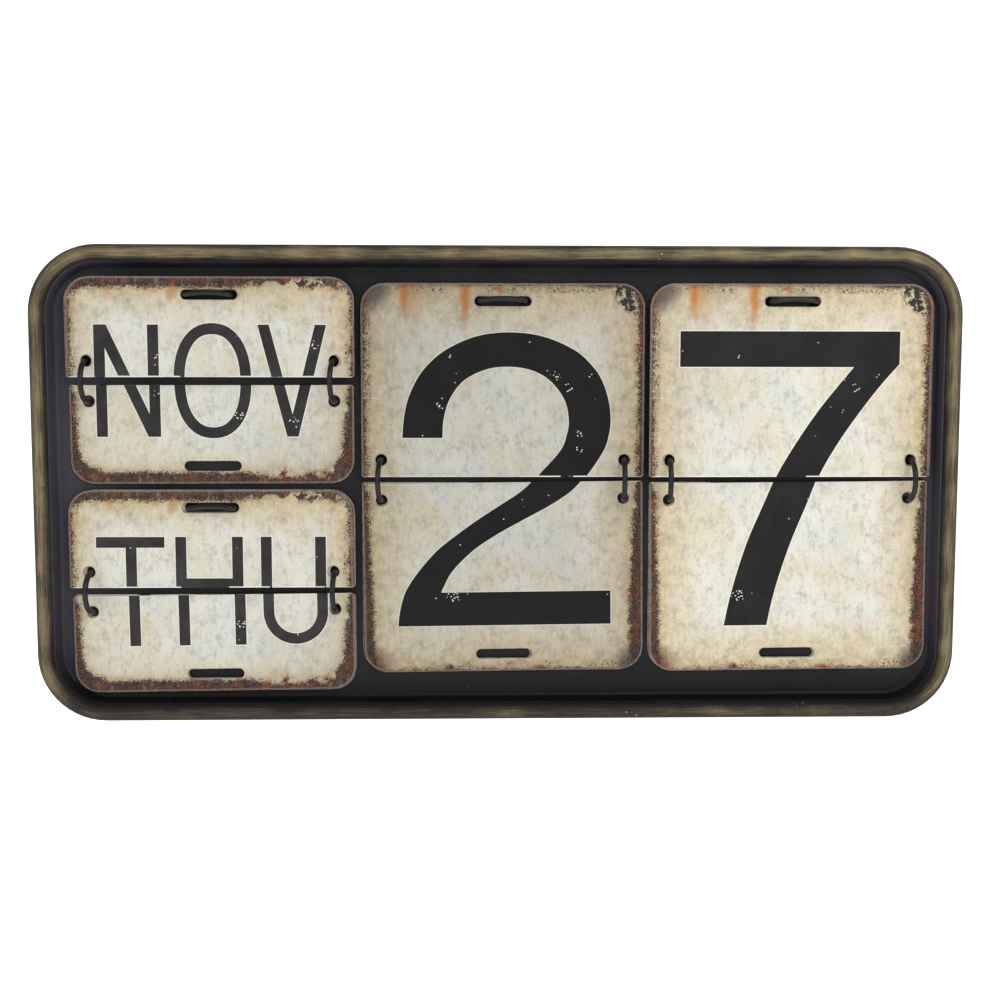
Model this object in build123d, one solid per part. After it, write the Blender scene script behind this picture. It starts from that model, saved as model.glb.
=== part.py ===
"""Wall-hung perpetual flip calendar.

A shallow tray with a rolled rim carries four stacks of hinged half-leaves: month, weekday,
tens of the day and ones of the day. Each stack hangs on two wire rings, and a wire loop
through the upper slots catches the leaves that have been flipped up.

Frame: X to the viewer's right, +Y into the wall, Z up. The origin lies midway between the
two hanging holes, on the wall plane. Everything is built about the tray's centre on the
wall plane and moved to that origin on export.
"""
from build123d import *
from math import atan, cos, degrees, radians, sin, sqrt, tan
import os

# Tray and rolled rim
tray_width = 600.0            # over the rim
tray_height = 308.0           # over the rim
tray_corner_radius = 44.0     # outside of the rim
rim_diameter = 10.4
rim_sheet = 1.0
tray_sheet = 1.0
tray_depth = 10.0             # floor's front face to the rim's centre line
wall_lean = 1.6               # the side wall leans in by this much down to the floor
floor_fillet = 2.5
flange_width = 3.4            # how far the tray's flange reaches into the rim
seam_clearance = 0.05
wall_gap = 4.0                # wall to the back of the tray's floor

# Leaves
leaf_thickness = 0.55
leaf_outer_corner = 15.5
leaf_inner_corner = 1.5
side_margin = 6.7             # tray floor's edge to the outer columns of leaves
column_gap = 4.85
column_shift = 2.2            # the three columns sit this far right of centre
small_margin = 6.0            # tray floor's edge to the small leaves
small_row_gap = 4.0           # between the month and the weekday leaves
small_shift = -1.1            # the small pair sits this far above the tray's centre
large_margin = 14.0           # tray floor's edge to the large leaves
large_shift = 3.4
small_half_gap = 2.6          # hinge line to a small leaf's inner edge
large_half_gap = 1.9

# Hinge rings
ring_wire = 3.5               # wire diameter
ring_radius = 13.2            # hinge line to the wire's centre
ring_inset = 12.6             # leaf's side edge to the ring
ring_play = 2.05              # radial, round the wire in a leaf's hole
hole_drop = 0.25              # the holes sit this much nearer the hinge line than the wire
stack_spread = 8.0            # depth shared by a stack's flipping leaves, first to last
pitch_limit = 3.0             # and the most that two neighbours stand apart
floor_clearance = 0.5         # fixed half-leaf to the nearest flipping leaf

# Catch loops and their slots
slot_end_play = 2.4           # loop to the slot's ends
slot_play = 1.6               # loop's wire to the slot's edges, when centred
slot_inset = 11.4             # leaf's outer edge to the slot's centre
loop_wire = 3.2
loop_span = 29.0              # between the centres of the loop's legs
loop_bend = 3.0
loop_rise = 8.0               # degrees by which the crossbar arches up from its ends
loop_clearance = 0.6          # foremost leaf to the crossbar
catch_clearance = 0.15        # crossbar to the path of the slot's outer edge

# Wire ends behind the tray
wire_hole_clearance = 0.25    # radial, in the tray's floor
head_lip = 1.45               # the upset head stands this far proud of its wire
head_thickness = 1.3

# Hangers and bumpers
hanger_drop = 62.0            # rim's top edge to the hanging holes
hanger_spacing = 380.0
hanger_sheet = 1.2
hanger_length = 46.0
hanger_foot = 9.0
hanger_width = 26.0
keyhole_radius = 4.5
keyhole_slot = 4.6
keyhole_rise = 7.0
bumper_radius = 6.0
bumper_inset_x = 52.0
bumper_inset_z = 26.0

# Derived levels, measured from the wall
floor_back = -wall_gap
floor_front = floor_back - tray_sheet
rim_y = floor_front - tray_depth
flange_front = rim_y - tray_sheet / 2
hinge_to_floor = stack_spread / 2 + leaf_thickness / 2 + floor_clearance + leaf_thickness
hinge_y = floor_front - hinge_to_floor

# Derived tray sizes
wall_inset = rim_diameter + seam_clearance + tray_sheet
lean_angle = degrees(atan(wall_lean / tray_depth))
floor_inset = wall_inset + wall_lean
floor_width = tray_width - 2 * floor_inset
floor_height = tray_height - 2 * floor_inset
hanger_height = tray_height / 2 - hanger_drop    # above the tray's centre

# Derived leaf sizes
leaf_width = (floor_width - 2 * side_margin - 2 * column_gap) / 3
column_pitch = leaf_width + column_gap
small_reach = (floor_height - 2 * small_margin - small_row_gap) / 4
large_reach = (floor_height - 2 * large_margin) / 2
small_row = small_reach + small_row_gap / 2
ring_x = leaf_width / 2 - ring_inset
hole_reach = ring_radius - hole_drop
ring_hole = ring_wire + 2 * ring_play
slot_length = loop_span + loop_wire + 2 * slot_end_play
slot_height = loop_wire + 2 * slot_play

to_row_frame = Pos(0, 0, -hanger_height)


class Stack:
    """One stack of half-leaves: its hinge line, its leaves and how they have settled."""

    def __init__(self, name, column, z, reach, half_gap, up, down, front_roll, front_shift, leans):
        self.name = name
        self.x = column_shift + column * column_pitch
        self.z = z
        self.reach = reach                  # hinge line to the leaf's outer edge
        self.half_gap = half_gap
        self.up = up                        # leaves flipped up
        self.down = down                    # leaves still hanging
        self.count = up + down
        self.pitch = min(stack_spread / (self.count - 1), pitch_limit)
        self.front_roll = front_roll        # degrees, the foremost hanging leaf hangs askew
        self.front_shift = front_shift
        self.leans = leans                  # degrees, how far each ring's front leans left
        self.slot_reach = reach - slot_inset

    def digits(self):
        return len(str(self.count))

    def leaf_name(self, number):
        return f"{self.name}_leaf_{number:0{self.digits()}d}"

    def is_up(self, number):
        return number <= self.up

    def offset(self, number):
        """Depth of a leaf from the hinge line; a leaf keeps its own place in either half."""
        up_offset = self.pitch * ((self.count + 1) / 2 - number)
        return up_offset if self.is_up(number) else -up_offset

    def settle(self, number):
        """Sideways shift and roll of a leaf that hangs loosely on its rings."""
        if number == self.up + 1:
            return self.front_shift, self.front_roll
        return 0.35 * sin(2.4 * number), 0.12 * cos(1.7 * number)


stacks = [
    Stack("month", -1, small_shift + small_row, small_reach, small_half_gap, 10, 1, -0.10, 0.1, (2, 7)),
    Stack("weekday", -1, small_shift - small_row, small_reach, small_half_gap, 4, 2, -0.60, 0.5, (5, 5)),
    Stack("tens", 0, large_shift, large_reach, large_half_gap, 2, 1, -0.60, 0.0, (7, 3)),
    Stack("ones", 1, large_shift, large_reach, large_half_gap, 7, 2, -0.50, 0.2, (4, 1)),
]


def rounded_plate(width, height, corner, front, back):
    """A plate with rounded corners that spans two levels in Y."""
    outline = RectangleRounded(width, height, corner)
    return Pos(0, back, 0) * extrude(Plane.XZ * outline, amount=back - front)


def leaning_block(inset, level, top, fillet_radius):
    """A rounded block that widens from one level out to the top, its first edge rounded."""
    lean = (rim_y - level) / (rim_y - floor_front) * wall_lean
    width = tray_width - 2 * (inset + lean)
    height = tray_height - 2 * (inset + lean)
    corner = tray_corner_radius - inset - lean
    outline = Plane.XZ * RectangleRounded(width, height, corner)
    block = Pos(0, level, 0) * extrude(outline, amount=level - top, taper=-lean_angle)
    return fillet(block.faces().sort_by(Axis.Y)[-1].edges(), fillet_radius)


def tray_pan():
    shell = leaning_block(wall_inset - tray_sheet, floor_back, flange_front, floor_fillet + tray_sheet)
    hollow = leaning_block(wall_inset, floor_front, flange_front, floor_fillet)
    reach = 2 * (rim_diameter - flange_width)
    flange = rounded_plate(tray_width - reach, tray_height - reach, tray_corner_radius - reach / 2,
                           flange_front, flange_front + tray_sheet)
    pan = shell + flange - hollow
    for hole in wire_holes():
        pan -= hole
    return pan


def rim_bead():
    """The rolled rim: a tube with a seam along its inner side that takes the tray's flange."""
    path = RectangleRounded(tray_width - rim_diameter, tray_height - rim_diameter,
                            tray_corner_radius - rim_diameter / 2)
    path = Pos(0, rim_y, 0) * (Plane.XZ * path)
    start = Plane(origin=(0, rim_y, (tray_height - rim_diameter) / 2), z_dir=(1, 0, 0))
    section = start * (Circle(rim_diameter / 2) - Circle(rim_diameter / 2 - rim_sheet))
    tube = sweep(section, path=path.wire())
    seam = rounded_plate(tray_width - rim_diameter, tray_height - rim_diameter,
                         tray_corner_radius - rim_diameter / 2,
                         flange_front - seam_clearance, flange_front + tray_sheet)
    return tube - seam


def half_leaf(stack):
    """A leaf standing up from its hinge line, its mid-plane on the hinge axis."""
    height = stack.reach - stack.half_gap
    plate = Pos(0, stack.half_gap + height / 2) * Rectangle(leaf_width, height)
    plate = fillet(plate.vertices().group_by(Axis.Y)[-1], leaf_outer_corner)
    plate = fillet(plate.vertices().group_by(Axis.Y)[0], leaf_inner_corner)
    for side in (-1, 1):
        plate -= Pos(side * ring_x, hole_reach) * Circle(ring_hole / 2)
    plate -= Pos(0, stack.slot_reach) * SlotOverall(slot_length, slot_height)
    return extrude(Plane.XZ * plate, amount=leaf_thickness / 2, both=True)


def placed_leaf(stack, is_up, offset, shift, roll):
    turned = half_leaf(stack) if is_up else Rot(X=180) * half_leaf(stack)
    return Pos(stack.x + shift, hinge_y + offset, stack.z) * Rot(Y=roll) * turned


def wire_head(x, z, wire_diameter):
    """The upset end of a wire, seated on the back of the tray's floor."""
    disc = Cylinder(wire_diameter / 2 + head_lip, head_thickness)
    disc = chamfer(disc.edges().sort_by(Axis.Z)[-1], head_thickness / 3)
    return Pos(x, floor_back + head_thickness / 2, z) * Rot(X=-90) * disc


def lean_offset(lean, y):
    """Sideways place, at a depth from the hinge line, of a ring that leans."""
    pivot = (hinge_to_floor - ring_radius) / 2
    return (y - pivot) * tan(radians(lean))


def ring(stack, side, lean):
    """A wire that arcs from the upper to the lower holes in front of the hinge line."""
    r = ring_radius
    pivot = (hinge_to_floor - ring_radius) / 2
    head_y = hinge_to_floor + tray_sheet + head_thickness / 2
    leg_end = pivot + (head_y - pivot) / cos(radians(lean))
    path = Line((0, leg_end, r), (0, 0, r))
    path += ThreePointArc((0, 0, r), (0, -r, 0), (0, 0, -r))
    path += Line((0, 0, -r), (0, leg_end, -r))
    section = Plane(origin=(0, leg_end, r), z_dir=(0, -1, 0)) * Circle(ring_wire / 2)
    wire = Pos(0, pivot, 0) * Rot(Z=-lean) * Pos(0, -pivot, 0) * sweep(section, path=path)
    x = stack.x + side * ring_x
    wire = Pos(x, hinge_y, stack.z) * wire
    for end in (-1, 1):
        wire += wire_head(x + lean_offset(lean, head_y), stack.z + end * r, ring_wire)
    return wire


def loop_levels(stack):
    """Depth of a catch loop's crossbar from the hinge line, and its height at mid-span."""
    bar_depth = stack_spread / 2 + leaf_thickness / 2 + loop_clearance + loop_wire / 2
    slot_edge = stack.slot_reach + slot_height / 2
    bar_height = sqrt((slot_edge - catch_clearance - loop_wire / 2) ** 2 - bar_depth ** 2)
    return bar_depth, bar_height


def loop_leg_height(stack):
    """Height of the loop's legs: the crossbar's height less what its bends and arch rise."""
    rise = radians(loop_rise)
    half_chord = loop_span / 2 - loop_bend * cos(rise)
    return loop_levels(stack)[1] - loop_bend * sin(rise) - half_chord * tan(rise / 2)


def catch_loop(stack):
    """A wire loop out of the tray, through the upper slots and back, with an arched crossbar."""
    bar_depth, bar_height = loop_levels(stack)
    leg_z = loop_leg_height(stack)
    leg_end = hinge_to_floor + tray_sheet + head_thickness / 2
    rise = radians(loop_rise)
    along = Vector(cos(rise), 0, sin(rise))          # the crossbar's direction at its left end
    leg_front = Vector(-loop_span / 2, loop_bend - bar_depth, leg_z)
    bend_centre = leg_front + along * loop_bend
    bar_start = bend_centre + Vector(0, -loop_bend, 0)
    bend_middle = bend_centre + (along * -1 + Vector(0, -1, 0)) * (loop_bend / sqrt(2))
    mirror = lambda p: Vector(-p.X, p.Y, p.Z)
    path = Line(Vector(-loop_span / 2, leg_end, leg_z), leg_front)
    path += ThreePointArc(leg_front, bend_middle, bar_start)
    path += ThreePointArc(bar_start, Vector(0, -bar_depth, bar_height), mirror(bar_start))
    path += ThreePointArc(mirror(bar_start), mirror(bend_middle), mirror(leg_front))
    path += Line(mirror(leg_front), Vector(loop_span / 2, leg_end, leg_z))
    section = Plane(origin=(-loop_span / 2, leg_end, leg_z), z_dir=(0, -1, 0)) * Circle(loop_wire / 2)
    wire = Pos(stack.x, hinge_y, stack.z) * sweep(section, path=path)
    for side in (-1, 1):
        wire += wire_head(stack.x + side * loop_span / 2, stack.z + leg_z, loop_wire)
    return wire


def floor_hole(x, z, wire_diameter):
    drill = Cylinder(wire_diameter / 2 + wire_hole_clearance, 3 * tray_sheet)
    return Pos(x, (floor_back + floor_front) / 2, z) * Rot(X=90) * drill


def wire_holes():
    holes = []
    for stack in stacks:
        for side, lean in zip((-1, 1), stack.leans):
            x = stack.x + side * ring_x + lean_offset(lean, hinge_to_floor + tray_sheet / 2)
            for end in (-1, 1):
                holes.append(floor_hole(x, stack.z + end * ring_radius, ring_wire))
        for side in (-1, 1):
            holes.append(floor_hole(stack.x + side * loop_span / 2, stack.z + loop_leg_height(stack), loop_wire))
    return holes


def hanger(side):
    """A joggled strap on the back of the tray, with a keyhole for a wall screw."""
    t = hanger_sheet
    outer = hanger_length / 2
    inner = outer - hanger_foot
    section = make_face(Polyline(
        (-outer, -wall_gap), (-inner + t, -wall_gap), (-inner + t, -t), (inner - t, -t),
        (inner - t, -wall_gap), (outer, -wall_gap), (outer, t - wall_gap), (inner, t - wall_gap),
        (inner, 0), (-inner, 0), (-inner, t - wall_gap), (-outer, t - wall_gap), close=True))
    middle = keyhole_rise / 2
    strap = Pos(0, 0, middle) * extrude(section, amount=hanger_width / 2, both=True)
    entry = Circle(keyhole_radius)
    neck = Pos(0, middle) * Rectangle(keyhole_slot, keyhole_rise)
    neck += Pos(0, keyhole_rise) * Circle(keyhole_slot / 2)
    strap -= extrude(Plane.XZ * (entry + neck), amount=wall_gap / 2, both=True)
    return Pos(side * hanger_spacing / 2, 0, hanger_height) * strap


def wall_bumpers():
    bumpers = []
    pad = Cylinder(bumper_radius, wall_gap)
    pad = chamfer(pad.edges().sort_by(Axis.Z)[-1], wall_gap / 5)
    for side in (-1, 1):
        x = side * (tray_width / 2 - bumper_inset_x)
        bumpers.append(Pos(x, -wall_gap / 2, bumper_inset_z - tray_height / 2) * Rot(X=-90) * pad)
    return Compound(children=bumpers)


def all_parts():
    parts = {
        "tray_pan": tray_pan(),
        "rim_bead": rim_bead(),
        "hanger_left": hanger(-1),
        "hanger_right": hanger(1),
        "wall_bumpers": wall_bumpers(),
    }
    fixed_offset = hinge_to_floor - leaf_thickness / 2
    for stack in stacks:
        parts[f"{stack.name}_fixed_top"] = placed_leaf(stack, True, fixed_offset, 0, 0)
        parts[f"{stack.name}_fixed_bottom"] = placed_leaf(stack, False, fixed_offset, 0, 0)
        for word, side, lean in zip(("left", "right"), (-1, 1), stack.leans):
            parts[f"{stack.name}_ring_{word}"] = ring(stack, side, lean)
        parts[f"{stack.name}_catch_loop"] = catch_loop(stack)
        for number in range(1, stack.count + 1):
            shift, roll = stack.settle(number)
            parts[stack.leaf_name(number)] = placed_leaf(
                stack, stack.is_up(number), stack.offset(number), shift, roll)
    return parts


os.makedirs("parts", exist_ok=True)
for node, shape in all_parts().items():
    export_step(to_row_frame * shape, f"parts/{node}.step")
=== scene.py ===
from math import ceil, copysign, cos, radians, sin

import bmesh
import bpy
import numpy as np
from mathutils import Matrix, Vector
from mathutils.geometry import delaunay_2d_cdt


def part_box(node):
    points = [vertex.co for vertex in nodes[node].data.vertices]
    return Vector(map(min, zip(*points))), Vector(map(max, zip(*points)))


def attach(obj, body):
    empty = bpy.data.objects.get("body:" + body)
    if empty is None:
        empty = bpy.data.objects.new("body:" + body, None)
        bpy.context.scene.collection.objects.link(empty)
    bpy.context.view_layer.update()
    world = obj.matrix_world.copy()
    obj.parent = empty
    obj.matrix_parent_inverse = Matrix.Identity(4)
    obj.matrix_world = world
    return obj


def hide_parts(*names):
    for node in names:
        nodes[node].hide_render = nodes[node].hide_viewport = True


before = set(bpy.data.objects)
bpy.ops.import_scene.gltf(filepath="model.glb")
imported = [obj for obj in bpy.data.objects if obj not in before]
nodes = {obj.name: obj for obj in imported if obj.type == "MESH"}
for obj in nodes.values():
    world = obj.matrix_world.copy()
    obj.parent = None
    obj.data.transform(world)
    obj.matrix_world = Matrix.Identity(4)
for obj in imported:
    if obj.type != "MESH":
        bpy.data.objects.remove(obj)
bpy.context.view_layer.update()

mm = 0.001
scene = bpy.context.scene


# camera, light and stage
cameraSet = {
    "place": (-0.01953, -0.85654, -0.02868),
    "turn": (85.0386, -0.0486, -1.3877),      # degrees
    "lens": 46.75,
}
camera = bpy.data.objects.new("camera", bpy.data.cameras.new("camera"))
camera.location = cameraSet["place"]
camera.rotation_euler = [radians(a) for a in cameraSet["turn"]]
camera.data.lens = cameraSet["lens"]
camera.data.sensor_width = 36
camera.data.dof.use_dof = False
scene.collection.objects.link(camera)
scene.camera = camera
scene.view_settings.view_transform = "Standard"

lightSet = {
    "sky": (0.80, 0.81, 0.83), "skyStrength": 0.62,
    "lamps": [                                # name, place, target, size, watts, colour
        ("keyLamp", (0.75, -1.55, 0.95), (0.05, 0, -0.09), 0.9, 15, (1.0, 0.975, 0.94)),
        ("fillLamp", (-1.3, -1.35, 0.25), (-0.05, 0, -0.09), 1.1, 4.5, (0.94, 0.97, 1.0)),
        ("backLamp", (0.4, 1.5, 0.9), (0, 0, -0.09), 1.2, 16, (1, 1, 1)),
    ],
}
world = bpy.data.worlds.new("studio")
scene.world = world
world.use_nodes = True
world.node_tree.nodes["Background"].inputs["Color"].default_value = (*lightSet["sky"], 1)
world.node_tree.nodes["Background"].inputs["Strength"].default_value = lightSet["skyStrength"]
for name, place, target, size, watts, colour in lightSet["lamps"]:
    lamp = bpy.data.objects.new(name, bpy.data.lights.new(name, "AREA"))
    lamp.data.shape = "DISK"
    lamp.data.size = size
    lamp.data.energy = watts
    lamp.data.color = colour
    lamp.location = place
    aim = Vector(target) - Vector(place)
    lamp.rotation_euler = aim.to_track_quat("-Z", "Y").to_euler()
    scene.collection.objects.link(lamp)
print("camera and lights placed")


# shader maths
class Wire:                                   # one value, colour or vector in a finish
    def __init__(self, finish, socket):
        self.finish = finish
        self.socket = socket

    def math(self, operation, *values):
        return self.finish.node("Math", {"operation": operation}, dict(enumerate(values)))

    def __add__(self, other):
        return self.math("ADD", self, other)

    def __radd__(self, other):
        return self.math("ADD", other, self)

    def __sub__(self, other):
        return self.math("SUBTRACT", self, other)

    def __rsub__(self, other):
        return self.math("SUBTRACT", other, self)

    def __mul__(self, other):
        return self.math("MULTIPLY", self, other)

    def __rmul__(self, other):
        return self.math("MULTIPLY", other, self)

    def __truediv__(self, other):
        return self.math("DIVIDE", self, other)

    def __pow__(self, other):
        return self.math("POWER", self, other)

    def __abs__(self):
        return self.math("ABSOLUTE", self)

    def least(self, other):
        return self.math("MINIMUM", self, other)

    def most(self, other):
        return self.math("MAXIMUM", self, other)

    def ease(self, low, high):                # smooth 0 to 1 as the value goes from low to high
        return self.finish.node("MapRange", {"interpolation_type": "SMOOTHSTEP"},
                                {0: self, 1: low, 2: high, 3: 0.0, 4: 1.0})

    def part(self, axis):
        return self.finish.node("SeparateXYZ", {}, {0: self}, axis)

    def scaled(self, factors):
        return self.finish.node("VectorMath", {"operation": "MULTIPLY"}, {0: self, 1: factors})

    def moved(self, offset):
        return self.finish.node("VectorMath", {"operation": "ADD"}, {0: self, 1: offset})


class Finish:                                 # one material and the nodes in it
    def __init__(self, name):
        self.material = bpy.data.materials.new(name)
        self.material.use_nodes = True
        self.tree = self.material.node_tree
        self.tree.nodes.clear()

    def node(self, kind, settings, sockets, out=0):
        made = self.tree.nodes.new("ShaderNode" + kind)
        for key, value in settings.items():
            setattr(made, key, value)
        for key, value in sockets.items():
            if isinstance(value, Wire):
                self.tree.links.new(value.socket, made.inputs[key])
            else:
                made.inputs[key].default_value = value
        return Wire(self, made.outputs[out]) if made.outputs else None

    def place(self):                          # where a point is on the object, in millimetres
        spot = self.node("TexCoord", {}, {}, 3)
        return spot.scaled((1000, 1000, 1000))

    def stored(self, name):
        return self.node("Attribute", {"attribute_name": name}, {}, 1)

    def vector(self, x, y, z):
        return self.node("CombineXYZ", {}, {0: x, 1: y, 2: z})

    def noise(self, vector, size, detail=3.0, rough=0.5, twist=0.0):
        return self.node("TexNoise", {}, {"Vector": vector, "Scale": 1 / size, "Detail": detail,
                                          "Roughness": rough, "Distortion": twist})

    def cells(self, vector, size, wander=1.0):
        return self.node("TexVoronoi", {}, {"Vector": vector, "Scale": 1 / size,
                                            "Randomness": wander})

    def mix(self, share, first, second, way="MIX"):
        colours = [c if isinstance(c, Wire) else (*c, 1) for c in (first, second)]
        return self.node("Mix", {"data_type": "RGBA", "blend_type": way},
                         {0: share, 6: colours[0], 7: colours[1]}, 2)

    def bump(self, height, depth, strength=1.0):      # depth in metres
        return self.node("Bump", {}, {"Height": height, "Distance": depth, "Strength": strength})

    def close(self, **sockets):               # the surface itself, with its socket values
        shader = self.node("BsdfPrincipled", {}, {k.replace("_", " "): v for k, v in sockets.items()})
        self.node("OutputMaterial", {}, {0: shader})
        return self.material


def tint(code):                               # a screen colour as Blender's linear colour
    parts = [int(code[i:i + 2], 16) / 255 for i in (0, 2, 4)]
    return tuple(p / 12.92 if p <= 0.04045 else ((p + 0.055) / 1.055) ** 2.4 for p in parts)


# stage
stageSet = {"floor": -0.62, "depth": 2.4, "width": 9.0, "near": -3.5, "bend": 0.8, "height": 4.0,
            "bendSteps": 12}


def makeStage():
    profile = [(stageSet["near"], 0.0)]
    for i in range(stageSet["bendSteps"] + 1):
        a = radians(90 * i / stageSet["bendSteps"])
        profile.append((stageSet["depth"] - stageSet["bend"] * (1 - sin(a)),
                        stageSet["bend"] * (1 - cos(a))))
    profile.append((stageSet["depth"], stageSet["height"]))
    points = []
    for x in (-stageSet["width"] / 2, stageSet["width"] / 2):
        points += [(x, y, stageSet["floor"] + z) for y, z in profile]
    count = len(profile)
    quads = [(i, i + count, i + count + 1, i + 1) for i in range(count - 1)]
    mesh = bpy.data.meshes.new("sweep")
    mesh.from_pydata(points, [], quads)
    for face in mesh.polygons:
        face.use_smooth = True
    sweep = bpy.data.objects.new("sweep", mesh)
    scene.collection.objects.link(sweep)
    paper = Finish("paperSweep")
    grain = paper.noise(paper.place(), 60, 4)
    shade = paper.mix(grain, (0.86, 0.86, 0.86), (0.90, 0.90, 0.90))
    mesh.materials.append(paper.close(Base_Color=shade, Roughness=0.9, Specular_IOR_Level=0.1,
                                      Emission_Color=(1, 1, 1, 1), Emission_Strength=0.55))


makeStage()


# the tray's black paint
traySet = {
    "dark": tint("111114"), "light": tint("202026"), "paintedSheen": tint("434149"), "low": tint("070709"),
    "dust": tint("3a383c"), "speck": tint("7a756c"),
    "ends": (225, 300), "rise": (-260, -150),         # mm, where painted sheen lightens the paint outwards and upwards
    "shadedFoot": (-238, -205),                     # mm, below which painted shade darkens it
    "cloudSize": 70, "dustSize": 9, "speckSize": 5.5, "patchSize": 24,
}


def makeTrayPaint():
    f = Finish("trayBlackPaint")
    at = f.place()
    cloud = f.noise(at, traySet["cloudSize"], 4, 0.55)
    fine = f.noise(at, 1.3, 3, 0.6)
    colour = f.mix(cloud.ease(0.35, 0.7), traySet["dark"], traySet["light"])
    # painted sheen: the paint is lightened towards the left and right ends and upwards
    ends = abs(at.part(0)).ease(*traySet["ends"]) * at.part(2).ease(*traySet["rise"])
    colour = f.mix(ends * 0.8, colour, traySet["paintedSheen"])
    # painted shade: darker towards the bottom
    colour = f.mix((1 - at.part(2).ease(*traySet["shadedFoot"])) * 0.95, colour, traySet["low"])
    dust = f.noise(at, traySet["dustSize"], 5, 0.7).ease(0.52, 0.75) * fine.ease(0.4, 0.75) * 0.22
    colour = f.mix(dust, colour, traySet["dust"])
    speck = (0.10 - f.cells(at, traySet["speckSize"])).ease(0, 0.05)
    speck = speck * f.noise(at, traySet["patchSize"], 2).ease(0.62, 0.7)
    colour = f.mix(speck * 0.7, colour, traySet["speck"])
    rough = 0.46 + cloud * 0.12 + fine * 0.06
    return f.close(Base_Color=colour, Roughness=rough, Specular_IOR_Level=0.22,
                   Normal=f.bump(f.noise(at, 0.9, 2), 0.00003, 0.5))


# the rim's dry-brushed bronze over black
rimSet = {
    "radius": 44.0, "bead": 5.2,
    "base": tint("1a1714"), "brown": tint("453b2c"), "bronze": tint("7f7355"), "bright": tint("a3986f"),
    "bare": tint("e9e6dc"),
    "drawn": 26,                              # how many times longer than wide the brush marks are
    "streakSize": 1.1, "patchSize": 34, "chipSize": 4.2,
    "shadedFoot": (12, 42),                         # mm past the straight sides, where painted shade thins the bronze out
}


def makeRimBronze():
    f = Finish("rimBrushedBronze")
    low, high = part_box("rim_bead")
    middle = [-(a + b) / 2 / mm for a, b in zip(low, high)]
    halfWide = (high.x - low.x) / 2 / mm - rimSet["radius"]
    halfTall = (high.z - low.z) / 2 / mm - rimSet["radius"]
    at = f.place().moved((middle[0], 0, middle[2]))
    x, y, z = at.part(0), at.part(1), at.part(2)
    nearX = x.most(-halfWide).least(halfWide)
    nearZ = z.most(-halfTall).least(halfTall)
    outX, outZ = x - nearX, z - nearZ
    reach = (outX * outX + outZ * outZ) ** 0.5            # from the corner's centre line
    turn = abs(outZ.math("ARCTAN2", outZ, outX))
    side = z.math("SIGN", z)
    along = nearZ + side * (turn * rimSet["radius"] + (halfWide - nearX))
    around = f.vector(along, reach, y)
    streaks = f.noise(f.vector(along / rimSet["drawn"], reach, y), rimSet["streakSize"], 6, 0.7, 0.3)
    broad = f.noise(f.vector(along / 9, reach / 3, y / 3), 3.0, 3, 0.5)
    patches = f.noise(around, rimSet["patchSize"], 3, 0.6)
    fine = f.noise(f.vector(along / 5, reach, y), 0.5, 3, 0.7)
    crestHighlight = (reach - (rimSet["radius"] - rimSet["bead"])) / rimSet["bead"]
    crestHighlight = 1 - crestHighlight * crestHighlight                             # painted highlight, full on the bead's front, none at its sides
    shadedFoot = (0 - z).ease(*[halfTall + past for past in rimSet["shadedFoot"]])       # painted shade: the lower rail gets little bronze
    # how much bronze shows: brush streaks and patches, with a painted highlight on the bead's front and
    # painted shade on the lower rail
    lay = streaks * 0.60 + broad * 0.30 + patches * 0.35 + crestHighlight * 0.30 + fine * 0.15 - 0.11 - shadedFoot * 0.20
    colour = f.mix(lay.ease(0.58, 0.80), rimSet["base"], rimSet["brown"])
    colour = f.mix(lay.ease(0.74, 0.98), colour, rimSet["bronze"])
    colour = f.mix(lay.ease(0.92, 1.12) * 0.7, colour, rimSet["bright"])
    chip = (0.09 - f.cells(around, rimSet["chipSize"])).ease(0, 0.03)
    chip = chip * f.noise(around, 40, 1).ease(0.68, 0.72)
    colour = f.mix(chip, colour, rimSet["bare"])
    return f.close(Base_Color=colour, Metallic=lay.ease(0.7, 1.0) * 0.3,
                   Roughness=0.60 - lay.ease(0.6, 1.0) * 0.12 + fine * 0.08, Specular_IOR_Level=0.28,
                   Normal=f.bump(streaks + fine * 0.5, 0.00012, 0.7))


# wires, hangers and bumpers
wireSet = {"dark": tint("0d0d10"), "light": tint("1a1a1e"), "worn": tint("3f3c38")}


def makeWireBlack():
    f = Finish("wireBlackSatin")
    at = f.place()
    mottle = f.noise(at, 2.4, 4, 0.6)
    colour = f.mix(mottle.ease(0.4, 0.7), wireSet["dark"], wireSet["light"])
    worn = f.noise(at, 0.8, 3, 0.7).ease(0.66, 0.74)
    colour = f.mix(worn * 0.5, colour, wireSet["worn"])
    return f.close(Base_Color=colour, Roughness=0.34 + mottle * 0.12, Specular_IOR_Level=0.35,
                   Normal=f.bump(mottle, 0.00006, 0.6))


zincSet = {"dull": tint("8f9194"), "bright": tint("c3c6c8"), "stain": tint("6e6a62")}


def makeZinc():
    f = Finish("hangerZinc")
    at = f.place()
    spangle = f.cells(at, 5.5)
    grain = f.noise(f.vector(at.part(0) / 14, at.part(1), at.part(2)), 0.35, 3, 0.6)
    colour = f.mix(spangle, zincSet["dull"], zincSet["bright"])
    colour = f.mix(f.noise(at, 8, 4, 0.7).ease(0.6, 0.75) * 0.5, colour, zincSet["stain"])
    return f.close(Base_Color=colour, Metallic=0.9, Roughness=0.34 + grain * 0.18,
                   Normal=f.bump(grain, 0.00003, 0.5))


rubberSet = {"dark": tint("17171a"), "light": tint("2a2a2c")}


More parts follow.
